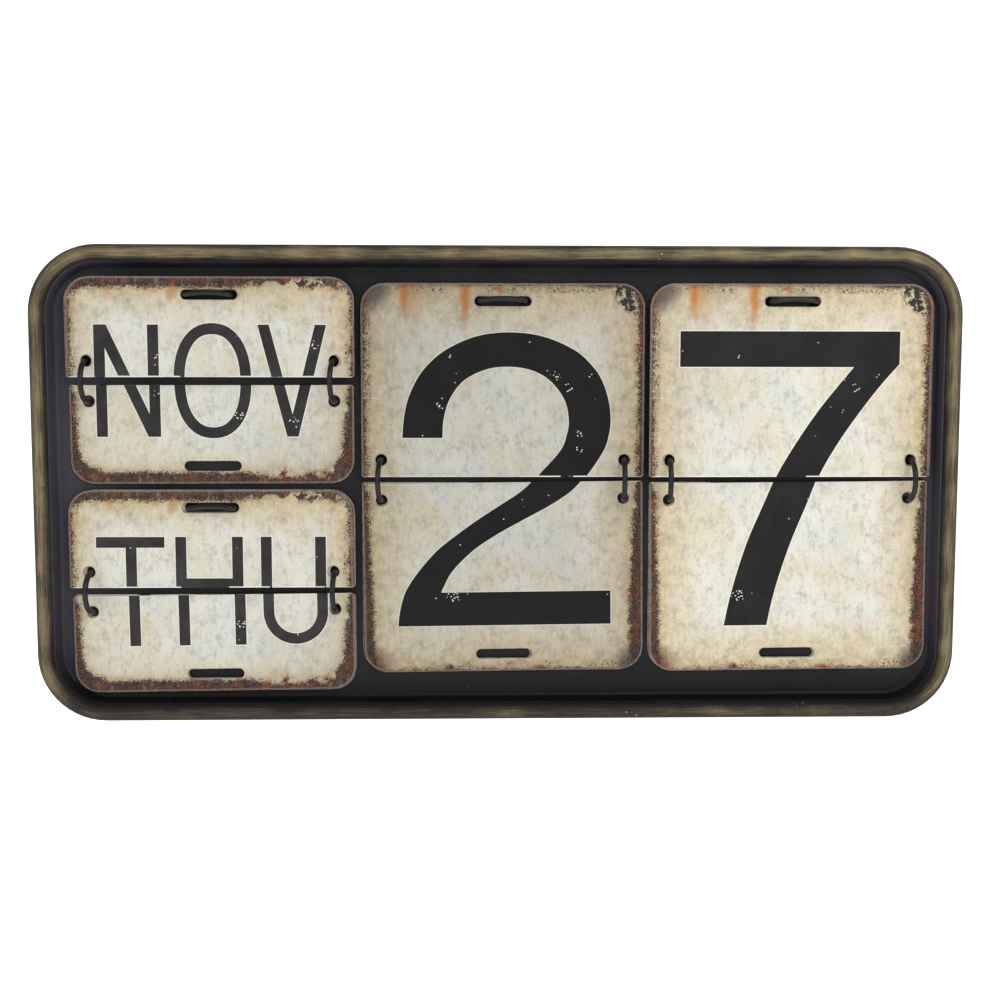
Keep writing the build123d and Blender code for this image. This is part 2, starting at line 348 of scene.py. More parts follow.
def makeRubber():
    f = Finish("bumperRubber")
    at = f.place()
    speckle = f.noise(at, 0.6, 4, 0.7)
    colour = f.mix(speckle, rubberSet["dark"], rubberSet["light"])
    return f.close(Base_Color=colour, Roughness=0.82, Specular_IOR_Level=0.25,
                   Normal=f.bump(speckle, 0.00008, 0.8))


def dress(node, material):
    mesh = nodes[node].data
    if not mesh.materials:
        mesh.materials.append(material)
    for i in range(len(mesh.materials)):
        mesh.materials[i] = material


trayPaint, rimBronze, wireBlack = makeTrayPaint(), makeRimBronze(), makeWireBlack()
zinc, rubber = makeZinc(), makeRubber()
dress("tray_pan", trayPaint)
dress("rim_bead", rimBronze)
dress("hanger_left", zinc)
dress("hanger_right", zinc)
dress("wall_bumpers", rubber)
for node in nodes:
    if "_ring_" in node or node.endswith("_catch_loop"):
        dress(node, wireBlack)
print("tray, rim, wires and hangers painted")


# the leaves' printed enamel
printSet = {
    "cream": tint("cdc5ab"), "white": tint("d6d5ca"), "cool": tint("cacdc6"), "pink": tint("d0bfb1"),
    "tan": tint("c9b182"), "olive": tint("a69468"), "grey": tint("928c7c"), "pit": tint("5d5445"),
    "brown": tint("2b1a15"), "purple": tint("55403a"), "rust": tint("67351f"), "orange": tint("9a5a2c"),
    "drip": tint("b06e24"), "flake": tint("1c1210"), "edge": tint("9a8c82"), "smoke": tint("4b3d38"),
    "crumb": tint("b3a27e"),
    "corner": 15.5, "wornCorners": (16, 26),  # the cut corner's radius, and the wear's at top and bottom
}
smallPrintSet = {
    "hinge": 2.6, "border": 32, "edging": (0.22, 0.75), "pink": 0.35, "core": 0.2,
    "sides": (2.6, 3.2, 2.8, 5.0),            # depth of wear at the left and its growth down, then the right
    "ragged": (0.9, 0.0),
    "drips": [(-65, 6.5, 17, 0.75), (-25, 6.0, 20, 0.6)],       # x, width, length, strength
}
largePrintSet = {
    "hinge": 1.9, "border": 42, "edging": (0.90, 0.10), "pink": 0.55, "core": 0.42,
    "sides": (3.0, 3.8, 4.0, 5.2),
    "ragged": (0.6, 0.45),
    "drips": [(-64, 6.4, 27, 1.0), (-24.5, 6.6, 37, 0.95), (-2.6, 4.2, 10, 1.0), (38, 3.4, 14, 0.35),
              (-58, 10, 44, 0.32)],
    "top": 0.9, "bottom": 1.5,
    "spots": [(-36, 5, 6.5, "rust"), (-35, 1.8, 6.0, "flake"), (-59, 3, 4.5, "orange"),     # x, width, height
              (23, 7, 5.0, "orange"), (24, 3, 3.0, "rust"), (48, 3, 3.0, "rust")],
}
inkSet = {
    "ink": tint("110f10"), "soft": tint("1e1c1c"), "chip": tint("e6e4da"), "halo": tint("e2dfd2"),
    "haloDirt": tint("c3bba4"),
}
wordInkSet = {
    "paintedLightWeight": 3.6,
    "chips": [(66, 23, 4.5), (17.6, -21.6, 5), (53, -27, 5.5), (-35.6, 16, 3), (-35, -8, 4)],   # x, z, reach
}
digitInkSet = {
    "paintedLightWeight": 1.0,
    "chips": [(-34, 79.5, 2.4), (-40, 50, 6), (-29, 69, 2.5), (34, 67, 5), (43, 60, 5), (50, 30, 3.5),
              (49.5, 20, 4), (-33, -77, 6.5), (55, 66, 3)],
}


def insideOf(x, z, halfWide, halfTall, corner):       # how far in from a rounded rectangle's edge
    overX, overZ = abs(x) - (halfWide - corner), abs(z) - (halfTall - corner)
    outX, outZ = overX.most(0), overZ.most(0)
    return corner - (outX * outX + outZ * outZ) ** 0.5 - overX.most(overZ).least(0)


def span(x, z):                               # how far x across and z up reach together
    return (x * x + z * z) ** 0.5


def toned(f, colour, tone):                   # the colour scaled by the stack's painted light: below one it is painted shade, above one painted light
    return f.mix(1.0, colour, f.vector(tone, tone, tone), "MULTIPLY")


def catchLight(f, colour, x, z, hinge):       # a pale broken line along the upper half's hinge edge
    line = (1 - (z - hinge).ease(0.55, 0.95)) * z.ease(0, 0.5)
    line = line * f.noise(f.vector(x, 0.0, 3.0), 17, 2, 0.5).ease(0.46, 0.49)
    return f.mix(line * 0.9, colour, inkSet["halo"])


class Print:                                  # the maps that a leaf's paint, rust and drips share
    def __init__(self, name, halfWide, halfTall, small):
        self.f = f = Finish(name)
        self.set = smallPrintSet if small else largePrintSet
        self.small, self.halfWide, self.halfTall = small, halfWide, halfTall
        card = f.stored("card")               # x, z on the whole print in mm, and its painted light level
        self.x, self.z, self.tone = card.part(0), card.part(1), card.part(2)
        x, z = self.x, self.z
        self.flat = flat = f.vector(x, z, 0.0)
        self.inside = insideOf(x, z, halfWide, halfTall, printSet["corner"])
        self.brushed = f.noise(f.vector(x, z * 0.4, 4.0), 2.6, 5, 0.7)
        self.grain = f.noise(flat, 0.95, 4, 0.75)
        self.rustBroad = f.noise(flat.moved((70, 20, 5)), 10, 5, 0.7, 0.3)
        self.rustFine = f.noise(flat.moved((5, 120, 8)), 0.9, 5, 0.85)
        edgeWise = (halfTall - abs(z)) - (halfWide - abs(x))
        self.toSide = edgeWise.ease(-7, 7)    # 0 along the top and bottom edges, 1 along the sides
        self.ragged = (f.noise(flat, 8, 3, 0.6) * 6
                       + f.noise(flat.moved((9, 9, 9)), 2.2, 5, 0.85) * 11 - 8.5)

    def paint(self):                          # clouds of cream, white, cool grey and pink, finely mottled
        f, flat, x, z, halfWide = self.f, self.flat, self.x, self.z, self.halfWide
        broad = f.noise(flat, 40, 5, 0.6, 0.4)
        middling = f.noise(flat.moved((310, 40, 7)), 26, 5, 0.6, 0.3)
        lesser = f.noise(flat.moved((-120, 500, 3)), 20, 5, 0.65, 0.2)
        blotch = f.noise(flat.moved((17, 5, 60)), 7, 5, 0.7)
        border = 1 - self.inside.ease(1, self.set["border"])
        high = (z / self.halfTall).ease(-0.3, 0.9)
        edging = border * (self.set["edging"][0] + high * self.set["edging"][1])
        warm = 0.15 + (x / halfWide).ease(-0.4, 1.0) * self.set["pink"]
        if self.small:
            dull = x.ease(-10, halfWide) * (0 - z).ease(-10, self.halfTall)
        else:
            dull = high * (0 - x).ease(-30, halfWide) * 0.8
        colour = f.mix(broad.ease(0.34, 0.58) * (1 - border * 0.75), printSet["cream"], printSet["white"])
        for share, shade in (
                (middling.ease(0.46, 0.64) * (1 - border) * 0.8, "cool"),
                (lesser.ease(0.46, 0.66) * warm, "pink"),
                (edging * 0.55, "tan"),
                (edging * (0.1 + blotch.ease(0.38, 0.62) * 0.5), "olive"),
                (blotch.ease(0.50, 0.70) * 0.45, "grey"),
                (dull * 0.45, "grey"),
                (self.brushed.ease(0.50, 0.70) * 0.46, "grey"),
                ((1 - self.brushed).ease(0.50, 0.70) * 0.45, "white"),
                (self.grain.ease(0.53, 0.76) * 0.55, "pit"),
                ((1 - self.grain).ease(0.58, 0.78) * 0.50, "white")):
            colour = f.mix(share, colour, printSet[shade])
        return colour

    def wear(self):                           # millimetres past the ragged front of the wear, and its mask
        f, flat, x, z = self.f, self.flat, self.x, self.z
        lower = (0 - z / self.halfTall).ease(-0.25, 0.85)
        left, leftGrowth, right, rightGrowth = self.set["sides"]
        if self.small:
            patches = f.noise(flat.moved((60, 2, 0)), 11, 3, 0.6)
            across = x / self.halfWide
            top = 7.0 - across.ease(0.0, 0.6) * 5.2 * patches.ease(0.42, 0.56)
            bottom = 7.6 - across.ease(0.1, 0.5) * 3.4 * (1 - patches).ease(0.46, 0.58)
            cornerTop, cornerBottom = printSet["wornCorners"]
            corner = cornerBottom - z.ease(-10, 10) * (cornerBottom - cornerTop)
            reach = insideOf(x, z, self.halfWide, self.halfTall, corner)
        else:
            top, bottom = self.set["top"], self.set["bottom"]
            reach = self.inside
        ends = bottom + z.ease(-4, 4) * (top - bottom)
        leftDepth, rightDepth = left + lower * leftGrowth, right + lower * rightGrowth
        sides = leftDepth + (rightDepth - leftDepth) * x.ease(-4, 4)
        depth = ends + (sides - ends) * self.toSide
        jag, sideJag = self.set["ragged"]
        front = depth - reach - self.ragged * (jag + self.toSide * sideJag)
        crumbs = f.noise(flat.moved((1, 7, 3)), 1.0, 4, 0.85)
        worn = (front + (crumbs - 0.5) * 15).ease(-0.3, 0.5)
        return front, worn.most((1.1 - self.inside).ease(0, 0.5) * 0.6)

    def metal(self, front):                   # rusted sheet where the paint has gone
        f, toSide = self.f, self.toSide
        ends = 1 - toSide
        patch = f.noise(self.flat, 4.2, 5, 0.75, 0.3)
        drawn = f.noise(f.vector(self.x, self.z * 0.35, 9.0), 3.4, 5, 0.8)
        rim = 1 - self.inside.ease(2, 9) * 0.3
        lip = (front - 0.2).ease(0, 1.6) * (1 - (front - 2.2).ease(0, 2.4))
        colour = f.mix(patch.ease(0.38, 0.62), printSet["brown"], printSet["purple"])
        for share, shade in (
                (self.rustBroad.ease(0.42, 0.60) * (0.90 - ends * 0.35), "rust"),
                (self.rustBroad.ease(0.50, 0.66) * patch.ease(0.42, 0.58) * 0.85, "orange"),
                (self.rustFine.ease(0.47, 0.57) * (0.92 - ends * 0.40), "flake"),
                ((1 - self.rustFine).ease(0.54, 0.64) * toSide * rim * 0.55, "olive"),
                ((1 - self.rustFine).ease(0.50, 0.70) * ends * 0.45, "edge"),
                (drawn.ease(0.52, 0.70) * ends * 0.34, "crumb"),
                (lip * self.rustFine.ease(0.42, 0.56) * 0.7, "flake")):
            colour = f.mix(share, colour, printSet[shade])
        return colour

    def drips(self, colour):                  # rust that has run down from the top edge
        f, x, z = self.f, self.x, self.z
        for middle, width, length, strength in self.set["drips"]:
            wobble = (f.noise(f.vector(x * 0.1, z, middle), 5.0, 2) - 0.5) * 2.5
            fall = (self.halfTall - z) / length
            narrow = abs(x - middle + wobble) / (width * (1 - fall * 0.62).most(0.12))
            body = (1 - narrow.ease(0.15, 1.0)) * (1 - fall.ease(0.35, 1.0)) * strength
            body = body * (0.62 + self.brushed * 0.6)
            core = (1 - narrow.ease(0.0, 0.55)) * (1 - fall.ease(0.05, 0.6)) * strength
            colour = f.mix(body.least(1.0) * 0.95, colour, printSet["drip"])
            colour = f.mix(core * self.set["core"], colour, printSet["orange"])
        return colour

    def corners(self, colour):                # smoke, black chips and rust spots on a large print
        f, flat, ragged = self.f, self.flat, self.ragged
        toLeft, toRight = self.x + self.halfWide, self.halfWide - self.x
        down, rise = self.halfTall - self.z, self.z + self.halfTall
        smoke = (1 - (span(toLeft, down) + ragged * 0.9).ease(9, 27)) * (0.6 + self.grain * 0.9)
        topLine = (1 - (down + ragged * 0.35).ease(0.2, 4.5)) * 0.65
        colour = f.mix(smoke.most(topLine).least(0.92), colour, printSet["smoke"])
        for across, shade in ((toRight, "smoke"), (toLeft, "rust")):
            low = 1 - (span(across, rise) + ragged * 1.1).ease(9, 25)
            colour = f.mix(low * 0.95, colour, printSet[shade])
        far = span(toRight, down)
        field = f.noise(flat.moved((3, 8, 1)), 3.2, 4, 0.75)
        chips = (1 - far.ease(20, 23)) * (field - far * 0.004).ease(0.405, 0.425)
        edgeChips = (1 - self.inside.ease(1.2, 4.0)) * (1 - far.ease(30, 48)) * field.ease(0.40, 0.44)
        colour = f.mix(chips.most(edgeChips), colour, printSet["flake"])
        lowChips = f.noise(flat.moved((30, 5, 1)), 1.9, 3, 0.75).ease(0.57, 0.60)
        lowChips = (1 - span(toRight, rise).ease(10, 30)) * lowChips
        colour = f.mix(lowChips * 0.9, colour, printSet["flake"])
        for middle, width, height, shade in self.set["spots"]:
            away = ((self.x - middle) / width) ** 2 + (rise / height) ** 2 + (ragged + 3) * 0.05
            colour = f.mix((1 - away.ease(0.35, 1.0)) * 0.9, colour, printSet[shade])
        return colour

    def flakes(self):                         # loose dark flakes a few millimetres in from the sides
        f, inside = self.f, self.inside
        belt = (inside - 2.0).ease(0, 1.2) * (1 - (inside - 5.0).ease(0, 2.6))
        speckle = f.noise(f.vector(self.x * 1.6, self.z, 2.0), 1.25, 3, 0.7)
        return belt * speckle.ease(0.52, 0.57) * f.noise(self.flat.moved((44, 4, 4)), 13, 2).ease(0.42, 0.56)

    def made(self):
        f, inside = self.f, self.inside
        front, worn = self.wear()
        metal, flakes = self.metal(front), self.flakes()
        stain = (front + 4.5).ease(0, 4.5) * self.rustBroad.ease(0.40, 0.62)
        colour = f.mix(stain * 0.40, self.paint(), printSet["orange"])
        colour = f.mix((front + 9).ease(0, 9) * 0.30, colour, printSet["olive"])
        colour = self.drips(f.mix(flakes * 0.95, colour, printSet["flake"]))
        if not self.small:
            colour = self.corners(colour)
        colour = f.mix(worn, colour, metal)
        colour = catchLight(f, colour, self.x, self.z, self.set["hinge"])
        # a thin lighter line just inside the eased edge: partly the print's margin, partly painted highlight
        # of the edge
        edgeHighlightAndMargin = (inside - 0.35).ease(0, 0.3) * (1 - (inside - 0.95).ease(0, 0.35))
        colour = toned(f, f.mix(edgeHighlightAndMargin * 0.42, colour, printSet["edge"]), self.tone)
        height = (1 - worn) * 0.7 + self.grain * 0.12 + worn * self.rustFine * 0.5 - flakes * 0.4
        return f.close(Base_Color=colour, Roughness=0.40 + worn * 0.38 + self.grain * 0.10,
                       Specular_IOR_Level=0.42, Normal=f.bump(height, 0.00012, 0.6))


def makeInk(name, small):
    f = Finish(name)
    own = wordInkSet if small else digitInkSet
    hinge = (smallPrintSet if small else largePrintSet)["hinge"]
    card = f.stored("card")
    across, up, tone = card.part(0), card.part(1), card.part(2)
    flat = f.vector(across, up, 0.0)
    cloud = f.noise(flat, 24, 4, 0.6)
    grain = f.noise(flat, 1.1, 3, 0.7)
    colour = f.mix(cloud.ease(0.35, 0.7) * 0.8, inkSet["ink"], inkSet["soft"])
    colour = f.mix(grain.ease(0.5, 0.8) * 0.25, colour, inkSet["soft"])
    depth = (tone * 2.5 - 1.5).most(0.15)     # painted shade: the stacks darkened by painted shade also get much blacker ink
    colour = toned(f, colour, depth * own["paintedLightWeight"])
    cluster = across * 0
    for x, z, reach in own["chips"]:
        cluster = cluster.most(1 - span(across - x, up - z).ease(reach * 0.5, reach))
    jag = f.noise(flat, 0.7, 3, 0.8)
    dots = (cluster * 0.47 - 0.16 - f.cells(flat, 1.6) + (jag - 0.5) * 0.30).ease(0, 0.06)
    stray = (0.10 - f.cells(flat.moved((5, 5, 5)), 4.4) + (jag - 0.5) * 0.1).ease(0, 0.03)
    stray = stray * f.noise(flat.moved((2, 6, 1)), 11, 2).ease(0.60, 0.63)
    chips = dots.most(stray)
    colour = catchLight(f, f.mix(chips, colour, inkSet["chip"]), across, up, hinge)
    return f.close(Base_Color=colour, Roughness=0.42 + grain * 0.1, Specular_IOR_Level=0.22,
                   Normal=f.bump(grain * 0.3 - chips, 0.00006, 0.6))


def makeHalo():
    f = Finish("letterHalo")
    card = f.stored("card")
    grain = f.noise(f.vector(card.part(0), card.part(1), 0.0), 1.6, 4, 0.7)
    colour = f.mix(grain.ease(0.45, 0.75) * 0.7, inkSet["halo"], inkSet["haloDirt"])
    return f.close(Base_Color=toned(f, colour, card.part(2)), Roughness=0.45 + grain * 0.1,
                   Specular_IOR_Level=0.4, Normal=f.bump(grain, 0.00004, 0.5))


leafEdgeSet = {"dull": tint("8d8178"), "rust": tint("6a4a3a"), "bright": tint("b9b0a2")}


def makeLeafEdge():
    f = Finish("leafWornEdge")
    at = f.place()
    patch = f.noise(at, 7, 4, 0.65)
    fine = f.noise(at, 0.7, 4, 0.75)
    colour = f.mix(patch.ease(0.45, 0.6), leafEdgeSet["dull"], leafEdgeSet["rust"])
    colour = f.mix(fine.ease(0.45, 0.7), colour, leafEdgeSet["bright"])
    return f.close(Base_Color=colour, Metallic=0.15, Roughness=0.5 + fine * 0.15,
                   Normal=f.bump(fine, 0.00005, 0.6))


# lettering: strokes of even width in millimetres on the card
letterSet = {
    "height": 72.0, "stroke": 7.1, "halo": 0.5, "widest": 149.0, "digitStroke": 25.0,
    "arcStep": 7, "sweepSteps": 6,            # degrees to each side of an arc, sides between two swept points
    "steep": 0.4,                             # a straight stroke that rises more than this ends level
    "blunt": 0.35,                            # stops a sharp corner's halo from shooting out
}


def bow(x, z, wide, tall, start, end, full=1.0):      # an arc, degrees anticlockwise from +x
    steps = max(4, ceil(abs(end - start) / letterSet["arcStep"]))
    angles = [radians(start + (end - start) * i / steps) for i in range(steps + 1)]
    return [(x + wide * copysign(abs(cos(a)) ** full, cos(a)),
             z + tall * copysign(abs(sin(a)) ** full, sin(a))) for a in angles]


def stroke(points, width, level=True):
    left, right = [], []
    count = len(points)
    steps = [Vector((b[0] - a[0], b[1] - a[1])).normalized() for a, b in zip(points, points[1:])]
    for i, (x, z) in enumerate(points):
        before, after = steps[max(0, i - 1)], steps[min(count - 2, i)]
        sideways = Vector((-before.y - after.y, before.x + after.x))
        offset = sideways * (width / 2 / (1 + before.dot(after)))
        if i in (0, count - 1) and level and abs(before.y) > letterSet["steep"]:
            offset = Vector((-width / 2 / before.y, 0))
        left.append((x + offset.x, z + offset.y))
        right.append((x - offset.x, z - offset.y))
    return left + right[::-1]


def swept(points):                            # a smooth line through a few points
    full = [points[0]] + list(points) + [points[-1]]
    line = []
    for a, b, c, d in zip(full, full[1:], full[2:], full[3:]):
        for i in range(letterSet["sweepSteps"]):
            t = i / letterSet["sweepSteps"]
            line.append(tuple(0.5 * (2 * b[k] + (c[k] - a[k]) * t
                                     + (2 * a[k] - 5 * b[k] + 4 * c[k] - d[k]) * t * t
                                     + (3 * b[k] - a[k] - 3 * c[k] + d[k]) * t ** 3) for k in (0, 1)))
    return line + [points[-1]]


def grown(points, by):                        # an outline moved outwards
    area = sum(a[0] * b[1] - b[0] * a[1] for a, b in zip(points, points[1:] + points[:1]))
    way = 1 if area > 0 else -1
    made = []
    for before, here, after in zip(points[-1:] + points[:-1], points, points[1:] + points[:1]):
        first = Vector((here[0] - before[0], here[1] - before[1])).normalized()
        second = Vector((after[0] - here[0], after[1] - here[1])).normalized()
        normal = Vector((first.y + second.y, -first.x - second.x)) * way
        reach = by / max(letterSet["blunt"], 1 + first.dot(second))
        made.append((here[0] + normal.x * reach, here[1] + normal.y * reach))
    return made


s = letterSet["stroke"] / 2                   # half a stroke
top = letterSet["height"] / 2
bar = top - s
ring = [(0, 180), (180, 360)]
letters = {                                   # width, left and right bearing, strokes
    "A": (46, 0.6, 0.6, [[(3.9, -top), (23, top)], [(42.1, -top), (23, top)], [(9, -12), (37, -12)]]),
    "B": (42, 5.4, 3.8, [[(s, -top), (s, top)],
                         [(s, bar), (23, bar)] + bow(23, 17.3, 13, bar - 17.3, 88, -88) + [(s, 2.2)],
                         [(s, 2.2), (24, 2.2)] + bow(24, -15, 14.4, bar - 15, 88, -88) + [(s, -bar)]]),
    "C": (46, 3.5, 2.5, [bow(25, 0, 21.4, bar, 48, 312)]),
    "D": (46, 5.4, 3.6, [[(s, -top), (s, top)],
                         [(s, bar), (20, bar)] + bow(20, 0, 22.4, bar, 88, -88) + [(s, -bar)]]),
    "E": (38, 5.4, 2.5, [[(s, -top), (s, top)], [(0, bar), (38, bar)], [(0, 2), (34, 2)],
                         [(0, -bar), (38, -bar)]]),
    "F": (36, 5.4, 2.0, [[(s, -top), (s, top)], [(0, bar), (36, bar)], [(0, 1), (32, 1)]]),
    "G": (48, 3.5, 4.6, [bow(25, 0, 21.4, bar, 48, 322), [(44.2, -24), (44.2, 1.4)],
                         [(28, -2.2), (47.8, -2.2)]]),
    "H": (44, 5.8, 5.8, [[(s, -top), (s, top)], [(44 - s, -top), (44 - s, top)], [(0, 5.2), (44, 5.2)]]),
    "I": (7.2, 5.4, 5.4, [[(s, -top), (s, top)]]),
    "J": (34, 2.4, 5.4, [[(34 - s, top), (34 - s, -17)] + bow(17, -17, 17 - s, bar - 17, -6, -165)]),
    "L": (36, 5.4, 1.6, [[(s, -top), (s, top)], [(0, -bar), (36, -bar)]]),
    "M": (55, 5.4, 5.4, [[(s, -top), (s, top)], [(55 - s, -top), (55 - s, top)], [(4.2, top), (27.5, -22)],
                         [(50.8, top), (27.5, -22)]]),
    "N": (41.5, 5.4, 5.4, [[(s, -top), (s, top)], [(41.5 - s, -top), (41.5 - s, top)],
                           [(4.2, top), (37.3, -top)]]),
    "O": (50, 3.8, 3.6, [bow(25, 0, 25 - s, bar + 1, a - 4, b + 4, 0.89) for a, b in ring]),
    "P": (41, 5.4, 2.8, [[(s, -top), (s, top)],
                         [(s, bar), (23, bar)] + bow(23, 14.6, 14.2, bar - 14.6, 88, -88) + [(s, -3.2)]]),
    "R": (42, 5.4, 1.6, [[(s, -top), (s, top)],
                         [(s, bar), (23, bar)] + bow(23, 14.6, 14.2, bar - 14.6, 88, -88) + [(s, -3.2)],
                         [(21, -3.2), (37.6, -top)]]),
    "S": (42, 3.5, 3.5, [bow(21, 16.4, 16.6, bar - 16.4, 22, 262) + bow(21, -16, 17.4, bar - 16, 82, -158)]),
    "T": (44.5, 1.2, 1.2, [[(0, bar), (44.5, bar)], [(22.7, -top), (22.7, top)]]),
    "U": (42.5, 5.8, 5.8, [[(s, top), (s, -14.6)] + bow(21.25, -14.6, 21.25 - s, bar - 14.6, 186, 354)
                           + [(42.5 - s, -14.6), (42.5 - s, top)]]),
    "V": (44.8, 0.6, 0.6, [[(3.8, top), (22.3, -top)], [(40.7, top), (22.3, -top)]]),
    "W": (64, 0.6, 0.6, [[(3.8, top), (17.5, -top)], [(32, top), (17.5, -top)], [(32, top), (46.5, -top)],
                         [(60.2, top), (46.5, -top)]]),
    "Y": (44, 0.6, 0.6, [[(3.9, top), (22, -4)], [(40.1, top), (22, -4)], [(22, 2), (22, -top)]]),
}


def wordShapes(word):
    wide = sum(letters[c][0] for c in word)
    gaps = sum(letters[a][2] + letters[b][1] for a, b in zip(word, word[1:]))
    squeeze = min(1.0, (letterSet["widest"] - gaps) / wide)
    cursor = -(wide * squeeze + gaps) / 2
    shapes = []
    for i, c in enumerate(word):
        width, leftGap, rightGap, strokes = letters[c]
        if i:
            cursor += leftGap
        for points in strokes:
            placed = [(cursor + x * squeeze, z) for x, z in points]
            shapes.append(stroke(placed, letterSet["stroke"], len(points) == 2 or c in "UJ"))
        cursor += width * squeeze + rightGap
    return shapes


d = letterSet["digitStroke"]
two = swept([(-65.4, 27.3), (-64.5, 39), (-61.8, 51.9), (-56, 64.9), (-48.8, 74.5), (-37.1, 84.2),
             (-18, 92.8), (4, 95.6), (26, 92.9), (46.4, 84.2), (57.5, 74.5), (64.2, 64.9), (68.7, 51.9),
             (70.2, 39), (69, 29), (66, 19.5), (56.6, 5), (46.4, -6.9), (32, -16.8), (13.2, -26.8),
             (-4.7, -36.6), (-19.8, -46.7), (-33.2, -59.8), (-39.4, -70.5), (-41, -74.3)])
two += [(70.7, -74.3), (70.7, -96.5), (-69.6, -96.5)]
two += swept([(-69.6, -96.5), (-69, -90), (-66.8, -79.7), (-63.2, -71), (-55.3, -59.6), (-43.5, -46.5),
              (-31, -36.6), (-17.2, -26.8), (-1.6, -16.8), (13.4, -6.9), (25, 5), (37.4, 19), (41.5, 29),
              (42.8, 39), (40, 51.9), (31, 64), (19, 71), (4, 73.4), (-11, 71.6), (-25.4, 64.4),
              (-34.6, 52.4), (-38.6, 39), (-39.3, 27.3)])[1:]
seven = [(-72.5, 73.4), (-72.5, 96.5), (70.9, 96.5), (70.9, 75.4)]
seven += swept([(70.9, 75.4), (59, 61.8), (46.5, 45.5), (33, 26), (20.9, 5), (11.9, -17), (2.4, -40),
                (-5, -61.5), (-10.2, -80), (-13.8, -97)])[1:]
seven += swept([(-42.4, -97), (-38.8, -80), (-33.5, -60.5), (-26.7, -40), (-16.8, -17), (-7, 5),
                (5.4, 26), (18.6, 45.5), (31.4, 61.8), (41, 73.4)])
digits = {
    "0": [stroke(bow(0, 0, 57, 83.5, a - 3, b + 3), d, False) for a, b in ring],
    "1": [stroke([(8, -95.5), (8, 95.5)], d), stroke([(12, 84), (-34, 58)], d, False)],
    "2": [two],
    "3": [stroke(bow(-2, 42, 49, 41.5, 158, -78), d, False),
          stroke(bow(-2, -41, 56, 42.5, 78, -158), d, False), stroke([(-22, 1), (14, 1)], 22)],
    "4": [stroke([(34, -95.5), (34, 95.5)], d), stroke([(-70, -46), (70, -46)], 22),
          stroke([(25, 95.5), (-55, -46)], 27)],
    "5": [stroke([(-48, 84.5), (60, 84.5)], 22), stroke([(-46, 95.5), (-52, 0)], 24),
          stroke(bow(-4, -31, 60, 53, 142, -150), d, False)],
    "6": [stroke(bow(2, -36, 55, 48, a - 3, b + 3), d, False) for a, b in ring]
         + [stroke(swept([(46, 82), (8, 66), (-26, 34), (-45, 0), (-53, -36)]), d, False)],
    "7": [seven],
    "8": [stroke(bow(0, 45, 47, 38.5, a - 3, b + 3), d, False) for a, b in ring]
         + [stroke(bow(0, -39.5, 56, 44, a - 3, b + 3), d, False) for a, b in ring],
    "9": [stroke(bow(-2, 36, 55, 48, a - 3, b + 3), d, False) for a, b in ring]
         + [stroke(swept([(-46, -82), (-8, -66), (26, -34), (45, 0), (53, 36)]), d, False)],
}


# the leaves
leafSet = {
    "thick": 0.55, "outer": 15.5, "inner": 1.5,
    "holeInset": 12.6, "holeZ": 12.95, "hole": 3.8,
    "slotWide": 37.0, "slotTall": 6.4, "slotInset": 11.4,
    "lip": 0.28, "lipDrop": 0.11,             # the eased edge round each face
    "outerStep": 9, "innerStep": 30, "holeStep": 15,  # degrees to each side of a rounded corner or hole
    "clear": 0.2, "snap": 0.01,               # least room by a hinge edge's corner, and between its points
    "sway": (0.35, 2.4), "tilt": (0.12, 1.7),         # how unevenly leaves sit: size, and step per leaf
}
finishOf = {"enamel": 0, "halo": 1, "ink": 2, "edge": 3}      # where each one is in a leaf's materials
months = "JAN FEB MAR APR MAY JUN JUL AUG SEP OCT NOV DEC".split()
days = "SUN MON TUE WED THU FRI SAT".split()
stacks = {                                    # up is the number of leaves that are turned over the top; tone is painted light and shade on each stack's print and ink
    "month": {"values": months, "small": True, "up": 10, "tone": 0.93,
              "roll": -0.10, "shift": 0.0, "upShift": 1.2},
    "weekday": {"values": days, "small": True, "up": 4, "tone": 0.96,
                "roll": -0.60, "shift": -0.7, "upShift": -1.2},
    "tens": {"values": list("0123"), "small": False, "up": 2, "tone": 0.76,
             "roll": -0.60, "shift": 0.2, "upShift": 0.4},
    "ones": {"values": list("0123456789"), "small": False, "up": 7, "tone": 1.08,
             "roll": -0.50, "shift": 0.2, "upShift": -0.8},
}


def cardShapes(value):
    return digits[value] if value in digits else wordShapes(value)


def turns(step, end):                         # angles from 0 to so many degrees
    return [radians(step * i) for i in range(end // step + 1)]


def leafOutline(inset, wide, reach, gap, crossings):
    half = wide / 2 - inset
    far, near = reach - inset, gap + inset
    big, little = leafSet["outer"] - inset, leafSet["inner"] - inset
    bigTurns, littleTurns = turns(leafSet["outerStep"], 90), turns(leafSet["innerStep"], 90)
    loop = [(half - big + big * cos(a), far - big + big * sin(a)) for a in bigTurns]
    loop += [(big - half - big * sin(a), far - big + big * cos(a)) for a in bigTurns]
    loop += [(little - half - little * cos(a), near + little - little * sin(a)) for a in littleTurns]
    loop += [(x, near) for x in crossings]
    loop += [(half - little + little * sin(a), near + little - little * cos(a)) for a in littleTurns]
    return loop


def holeLoops(inset, wide, reach):
    loops = []
    for side in (-1, 1):
        r = leafSet["hole"] + inset
        loops.append([(side * (wide / 2 - leafSet["holeInset"]) + r * cos(a), leafSet["holeZ"] + r * sin(a))
                      for a in turns(leafSet["holeStep"], 359)])
    r = leafSet["slotTall"] / 2 + inset
    straight = (leafSet["slotWide"] - leafSet["slotTall"]) / 2
    middle = reach - leafSet["slotInset"]
    ends = turns(leafSet["holeStep"], 180)
    loops.append([(straight + r * sin(a), middle - r * cos(a)) for a in ends]
                 + [(-straight - r * sin(a), middle + r * cos(a)) for a in ends])
    return loops


